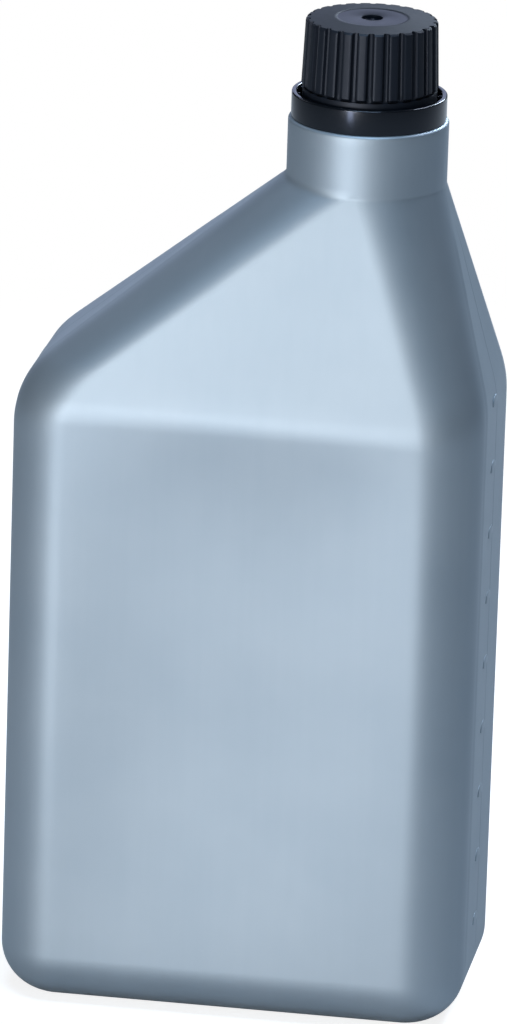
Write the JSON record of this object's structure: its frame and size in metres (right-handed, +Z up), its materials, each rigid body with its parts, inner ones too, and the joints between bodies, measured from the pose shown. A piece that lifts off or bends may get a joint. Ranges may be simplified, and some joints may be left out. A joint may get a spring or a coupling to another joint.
{
  "type": "compressor oil bottle",
  "caption": "Flat rectangular plastic bottle with an offset neck, sloping shoulders, litre marks, a ribbed screw cap and a tamper band.",
  "frame": {"origin": "middle of the base, on the surface the bottle stands on", "axes": "+Z up along the neck, -Y out of the broad front, +X towards the side where the neck and the litre marks are"},
  "size_m": [0.1112, 0.062, 0.2362],
  "materials": {
    "bottle": "satin moulded polyethylene with a silver pigment",
    "closure": "semi-gloss moulded polypropylene",
    "liner": "soft foamed polyethylene"
  },
  "bodies": {
    "bottle": {"bottle": "bottle", "tamper_band": "closure"},
    "liner": {"cap_liner": "liner"},
    "cap": {"cap": "closure"}
  },
  "joints": [
    {"name": "cap_lift", "type": "slide", "parent": "bottle", "child": "liner", "axis": [0, 0, 1], "range_m": [0, 0.0252]},
    {"name": "cap_turn", "type": "hinge", "parent": "liner", "child": "cap", "pos_m": [0.0228, 0, 0.2162], "axis": [0, 0, 1], "range_deg": [0, 2160]}
  ],
  "couplings": [
    {"joint": "cap_lift", "follows": "cap_turn", "m_per_rad": 0.00066845}
  ]
}
